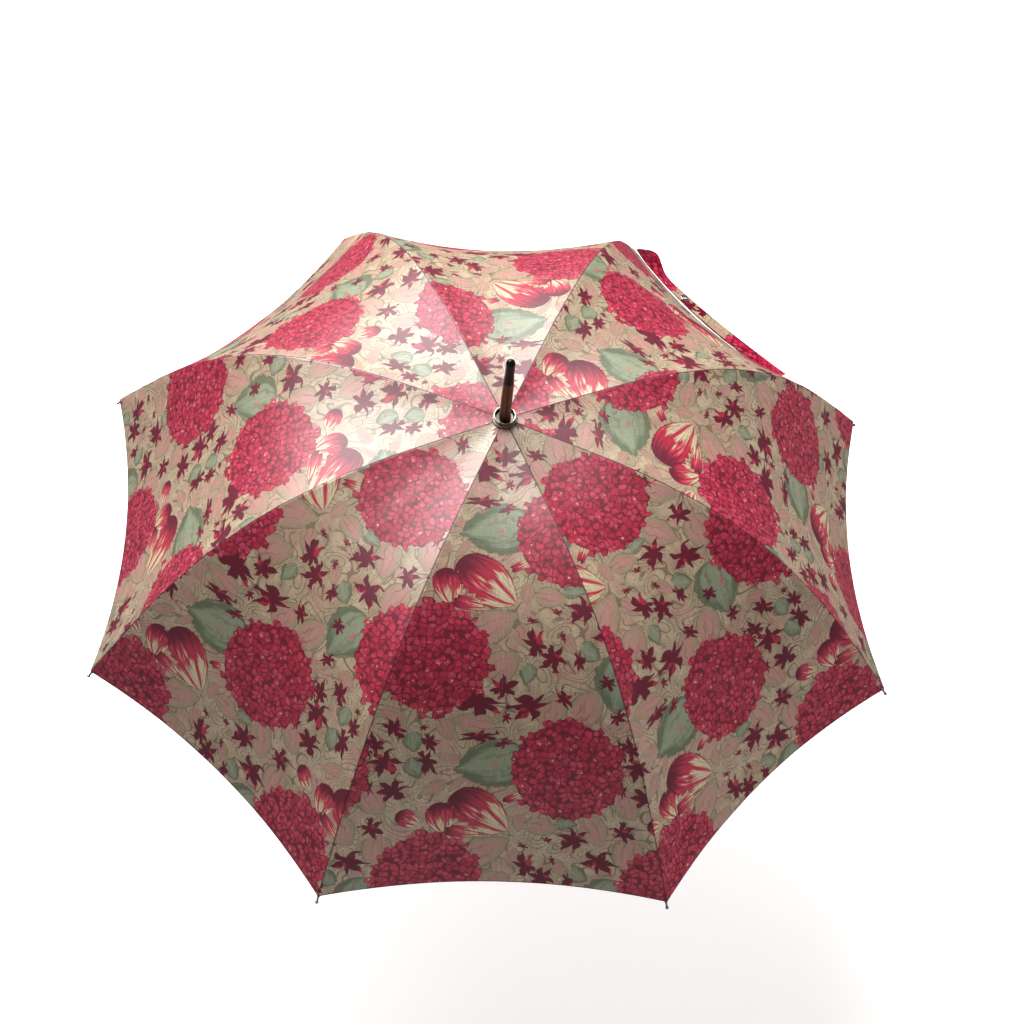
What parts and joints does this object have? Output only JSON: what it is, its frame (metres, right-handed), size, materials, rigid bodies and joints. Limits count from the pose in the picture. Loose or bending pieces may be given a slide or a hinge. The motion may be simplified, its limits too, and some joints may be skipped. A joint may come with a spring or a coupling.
{
  "type": "stick umbrella",
  "caption": "Open long umbrella with curved folding ribs, a sliding runner, a patterned cloth canopy, a wooden shaft with a spike and a crook handle.",
  "frame": {"origin": "on the shaft's axis in the middle of the straight part of the handle, where the hand holds it", "axes": "+Z along the shaft towards the tip; +X towards the open end of the crook; the umbrella is shown open"},
  "size_m": [0.9374, 0.9374, 0.8913],
  "materials": {
    "wood": "dark stained wood with a satin varnish",
    "black_end": "polished black",
    "nickel": "bright nickel plate",
    "steel": "drawn steel channel, satin",
    "dark_metal": "black enamel",
    "canopy_cloth": "woven floral satin in cream, raspberry, burgundy and sage"
  },
  "bodies": {
    "stick": {"shaft": "wood", "stop_pin": "steel", "top_notch": "dark_metal", "notch_wire": "steel", "canopy_crown": "canopy_cloth", "crown_cup": "nickel", "tip_spike": "wood", "tip_end": "black_end", "handle": "wood", "handle_collar": "nickel", "handle_end": "nickel"},
    "rib_1": {"rib_1": "steel", "rib_tip_1": "nickel"},
    "stretcher_1": {"stretcher_1": "steel"},
    "cloth_1a": {"gore_1a": "canopy_cloth"},
    "cloth_1b": {"gore_1b": "canopy_cloth"},
    "rib_2": {"rib_2": "steel", "rib_tip_2": "nickel"},
    "stretcher_2": {"stretcher_2": "steel"},
    "cloth_2a": {"gore_2a": "canopy_cloth"},
    "cloth_2b": {"gore_2b": "canopy_cloth"},
    "rib_3": {"rib_3": "steel", "rib_tip_3": "nickel"},
    "stretcher_3": {"stretcher_3": "steel"},
    "cloth_3a": {"gore_3a": "canopy_cloth"},
    "cloth_3b": {"gore_3b": "canopy_cloth"},
    "rib_4": {"rib_4": "steel", "rib_tip_4": "nickel"},
    "stretcher_4": {"stretcher_4": "steel"},
    "cloth_4a": {"gore_4a": "canopy_cloth"},
    "cloth_4b": {"gore_4b": "canopy_cloth"},
    "rib_5": {"rib_5": "steel", "rib_tip_5": "nickel"},
    "stretcher_5": {"stretcher_5": "steel"},
    "cloth_5a": {"gore_5a": "canopy_cloth"},
    "cloth_5b": {"gore_5b": "canopy_cloth", "strap": "canopy_cloth", "strap_snap": "nickel"},
    "rib_6": {"rib_6": "steel", "rib_tip_6": "nickel"},
    "stretcher_6": {"stretcher_6": "steel"},
    "cloth_6a": {"gore_6a": "canopy_cloth"},
    "cloth_6b": {"gore_6b": "canopy_cloth"},
    "rib_7": {"rib_7": "steel", "rib_tip_7": "nickel"},
    "stretcher_7": {"stretcher_7": "steel"},
    "cloth_7a": {"gore_7a": "canopy_cloth"},
    "cloth_7b": {"gore_7b": "canopy_cloth"},
    "rib_8": {"rib_8": "steel", "rib_tip_8": "nickel"},
    "stretcher_8": {"stretcher_8": "steel"},
    "cloth_8a": {"gore_8a": "canopy_cloth"},
    "cloth_8b": {"gore_8b": "canopy_cloth"},
    "runner": {"runner": "dark_metal", "runner_wire": "steel"},
    "top_catch": {"top_catch": "steel"},
    "bottom_catch": {"bottom_catch": "steel"}
  },
  "joints": [
    {"name": "fold_1", "type": "hinge", "parent": "stick", "child": "rib_1", "pos_m": [-0.0044, -0.01063, 0.6835], "axis": [0.9239, -0.3827, 0], "range_deg": [0, 60], "deforming": ["gore_1a", "gore_1b", "gore_2a", "gore_2b", "gore_3a", "gore_3b", "gore_4a", "gore_4b", "gore_5a", "gore_5b", "gore_6a", "gore_6b", "gore_7a", "gore_7b", "gore_8a", "gore_8b", "top_catch", "bottom_catch", "strap", "strap_snap"]},
    {"name": "strut_1", "type": "hinge", "parent": "rib_1", "child": "stretcher_1", "pos_m": [-0.12121, -0.29263, 0.62429], "axis": [0.9239, -0.3827, 0], "range_deg": [-120, 0]},
    {"name": "cloth_1a_fold", "type": "hinge", "parent": "rib_1", "child": "cloth_1a", "pos_m": [-0.00229, -0.0115, 0.6835], "axis": [-0.6679, 0.7078, -0.23], "range_deg": [0, 29.8]},
    {"name": "cloth_1b_fold", "type": "hinge", "parent": "rib_1", "child": "cloth_1b", "pos_m": [-0.00651, -0.00975, 0.6835], "axis": [-0.9728, -0.0282, 0.23], "range_deg": [0, 29.8]},
    {"name": "fold_2", "type": "hinge", "parent": "stick", "child": "rib_2", "pos_m": [-0.01063, -0.0044, 0.6835], "axis": [0.3827, -0.9239, 0], "range_deg": [0, 60]},
    {"name": "strut_2", "type": "hinge", "parent": "rib_2", "child": "stretcher_2", "pos_m": [-0.29263, -0.12121, 0.62429], "axis": [0.3827, -0.9239, 0], "range_deg": [-120, 0]},
    {"name": "cloth_2a_fold", "type": "hinge", "parent": "rib_2", "child": "cloth_2a", "pos_m": [-0.00975, -0.00651, 0.6835], "axis": [0.0282, 0.9728, -0.23], "range_deg": [0, 29.8]},
    {"name": "cloth_2b_fold", "type": "hinge", "parent": "rib_2", "child": "cloth_2b", "pos_m": [-0.0115, -0.00229, 0.6835], "axis": [-0.7078, 0.6679, 0.23], "range_deg": [0, 29.8]},
    {"name": "fold_3", "type": "hinge", "parent": "stick", "child": "rib_3", "pos_m": [-0.01063, 0.0044, 0.6835], "axis": [-0.3827, -0.9239, 0], "range_deg": [0, 60]},
    {"name": "strut_3", "type": "hinge", "parent": "rib_3", "child": "stretcher_3", "pos_m": [-0.29263, 0.12121, 0.62429], "axis": [-0.3827, -0.9239, 0], "range_deg": [-120, 0]},
    {"name": "cloth_3a_fold", "type": "hinge", "parent": "rib_3", "child": "cloth_3a", "pos_m": [-0.0115, 0.00229, 0.6835], "axis": [0.7078, 0.6679, -0.23], "range_deg": [0, 29.8]},
    {"name": "cloth_3b_fold", "type": "hinge", "parent": "rib_3", "child": "cloth_3b", "pos_m": [-0.00975, 0.00651, 0.6835], "axis": [-0.0282, 0.9728, 0.23], "range_deg": [0, 29.8]},
    {"name": "fold_4", "type": "hinge", "parent": "stick", "child": "rib_4", "pos_m": [-0.0044, 0.01063, 0.6835], "axis": [-0.9239, -0.3827, 0], "range_deg": [0, 60]},
    {"name": "strut_4", "type": "hinge", "parent": "rib_4", "child": "stretcher_4", "pos_m": [-0.12121, 0.29263, 0.62429], "axis": [-0.9239, -0.3827, 0], "range_deg": [-120, 0]},
    {"name": "cloth_4a_fold", "type": "hinge", "parent": "rib_4", "child": "cloth_4a", "pos_m": [-0.00651, 0.00975, 0.6835], "axis": [0.9728, -0.0282, -0.23], "range_deg": [0, 29.8]},
    {"name": "cloth_4b_fold", "type": "hinge", "parent": "rib_4", "child": "cloth_4b", "pos_m": [-0.00229, 0.0115, 0.6835], "axis": [0.6679, 0.7078, 0.23], "range_deg": [0, 29.8]},
    {"name": "fold_5", "type": "hinge", "parent": "stick", "child": "rib_5", "pos_m": [0.0044, 0.01063, 0.6835], "axis": [-0.9239, 0.3827, 0], "range_deg": [0, 60]},
    {"name": "strut_5", "type": "hinge", "parent": "rib_5", "child": "stretcher_5", "pos_m": [0.12121, 0.29263, 0.62429], "axis": [-0.9239, 0.3827, 0], "range_deg": [-120, 0]},
    {"name": "cloth_5a_fold", "type": "hinge", "parent": "rib_5", "child": "cloth_5a", "pos_m": [0.00229, 0.0115, 0.6835], "axis": [0.6679, -0.7078, -0.23], "range_deg": [0, 29.8]},
    {"name": "cloth_5b_fold", "type": "hinge", "parent": "rib_5", "child": "cloth_5b", "pos_m": [0.00651, 0.00975, 0.6835], "axis": [0.9728, 0.0282, 0.23], "range_deg": [0, 29.8]},
    {"name": "fold_6", "type": "hinge", "parent": "stick", "child": "rib_6", "pos_m": [0.01063, 0.0044, 0.6835], "axis": [-0.3827, 0.9239, 0], "range_deg": [0, 60]},
    {"name": "strut_6", "type": "hinge", "parent": "rib_6", "child": "stretcher_6", "pos_m": [0.29263, 0.12121, 0.62429], "axis": [-0.3827, 0.9239, 0], "range_deg": [-120, 0]},
    {"name": "cloth_6a_fold", "type": "hinge", "parent": "rib_6", "child": "cloth_6a", "pos_m": [0.00975, 0.00651, 0.6835], "axis": [-0.0282, -0.9728, -0.23], "range_deg": [0, 29.8]},
    {"name": "cloth_6b_fold", "type": "hinge", "parent": "rib_6", "child": "cloth_6b", "pos_m": [0.0115, 0.00229, 0.6835], "axis": [0.7078, -0.6679, 0.23], "range_deg": [0, 29.8]},
    {"name": "fold_7", "type": "hinge", "parent": "stick", "child": "rib_7", "pos_m": [0.01063, -0.0044, 0.6835], "axis": [0.3827, 0.9239, 0], "range_deg": [0, 60]},
    {"name": "strut_7", "type": "hinge", "parent": "rib_7", "child": "stretcher_7", "pos_m": [0.29263, -0.12121, 0.62429], "axis": [0.3827, 0.9239, 0], "range_deg": [-120, 0]},
    {"name": "cloth_7a_fold", "type": "hinge", "parent": "rib_7", "child": "cloth_7a", "pos_m": [0.0115, -0.00229, 0.6835], "axis": [-0.7078, -0.6679, -0.23], "range_deg": [0, 29.8]},
    {"name": "cloth_7b_fold", "type": "hinge", "parent": "rib_7", "child": "cloth_7b", "pos_m": [0.00975, -0.00651, 0.6835], "axis": [0.0282, -0.9728, 0.23], "range_deg": [0, 29.8]},
    {"name": "fold_8", "type": "hinge", "parent": "stick", "child": "rib_8", "pos_m": [0.0044, -0.01063, 0.6835], "axis": [0.9239, 0.3827, 0], "range_deg": [0, 60]},
    {"name": "strut_8", "type": "hinge", "parent": "rib_8", "child": "stretcher_8", "pos_m": [0.12121, -0.29263, 0.62429], "axis": [0.9239, 0.3827, 0], "range_deg": [-120, 0]},
    {"name": "cloth_8a_fold", "type": "hinge", "parent": "rib_8", "child": "cloth_8a", "pos_m": [0.00651, -0.00975, 0.6835], "axis": [-0.9728, 0.0282, -0.23], "range_deg": [0, 29.8]},
    {"name": "cloth_8b_fold", "type": "hinge", "parent": "rib_8", "child": "cloth_8b", "pos_m": [0.00229, -0.0115, 0.6835], "axis": [-0.6679, -0.7078, 0.23], "range_deg": [0, 29.8]},
    {"name": "runner_slide", "type": "hinge", "parent": "stretcher_1", "child": "runner", "pos_m": [-0.0044, -0.01063, 0.56507], "axis": [0.9239, -0.3827, 0], "range_deg": [0, 60]},
    {"name": "top_catch_press", "type": "slide", "parent": "stick", "child": "top_catch", "axis": [-1, 0, 0], "range_m": [0, 0.0032], "stiffness_N_per_m": 1500, "springref_m": -0.001},
    {"name": "bottom_catch_press", "type": "slide", "parent": "stick", "child": "bottom_catch", "axis": [-1, 0, 0], "range_m": [0, 0.0032], "stiffness_N_per_m": 1500, "springref_m": -0.001}
  ],
  "couplings": [
    {"joint": "strut_1", "follows": "fold_1", "ratio": -2},
    {"joint": "cloth_1a_fold", "follows": "fold_1", "ratio": 0.49658},
    {"joint": "cloth_1b_fold", "follows": "fold_1", "ratio": 0.49658},
    {"joint": "fold_2", "follows": "fold_1", "ratio": 1},
    {"joint": "strut_2", "follows": "fold_1", "ratio": -2},
    {"joint": "cloth_2a_fold", "follows": "fold_1", "ratio": 0.49658},
    {"joint": "cloth_2b_fold", "follows": "fold_1", "ratio": 0.49658},
    {"joint": "fold_3", "follows": "fold_1", "ratio": 1},
    {"joint": "strut_3", "follows": "fold_1", "ratio": -2},
    {"joint": "cloth_3a_fold", "follows": "fold_1", "ratio": 0.49658},
    {"joint": "cloth_3b_fold", "follows": "fold_1", "ratio": 0.49658},
    {"joint": "fold_4", "follows": "fold_1", "ratio": 1},
    {"joint": "strut_4", "follows": "fold_1", "ratio": -2},
    {"joint": "cloth_4a_fold", "follows": "fold_1", "ratio": 0.49658},
    {"joint": "cloth_4b_fold", "follows": "fold_1", "ratio": 0.49658},
    {"joint": "fold_5", "follows": "fold_1", "ratio": 1},
    {"joint": "strut_5", "follows": "fold_1", "ratio": -2},
    {"joint": "cloth_5a_fold", "follows": "fold_1", "ratio": 0.49658},
    {"joint": "cloth_5b_fold", "follows": "fold_1", "ratio": 0.49658},
    {"joint": "fold_6", "follows": "fold_1", "ratio": 1},
    {"joint": "strut_6", "follows": "fold_1", "ratio": -2},
    {"joint": "cloth_6a_fold", "follows": "fold_1", "ratio": 0.49658},
    {"joint": "cloth_6b_fold", "follows": "fold_1", "ratio": 0.49658},
    {"joint": "fold_7", "follows": "fold_1", "ratio": 1},
    {"joint": "strut_7", "follows": "fold_1", "ratio": -2},
    {"joint": "cloth_7a_fold", "follows": "fold_1", "ratio": 0.49658},
    {"joint": "cloth_7b_fold", "follows": "fold_1", "ratio": 0.49658},
    {"joint": "fold_8", "follows": "fold_1", "ratio": 1},
    {"joint": "strut_8", "follows": "fold_1", "ratio": -2},
    {"joint": "cloth_8a_fold", "follows": "fold_1", "ratio": 0.49658},
    {"joint": "cloth_8b_fold", "follows": "fold_1", "ratio": 0.49658},
    {"joint": "runner_slide", "follows": "fold_1", "ratio": 1}
  ]
}
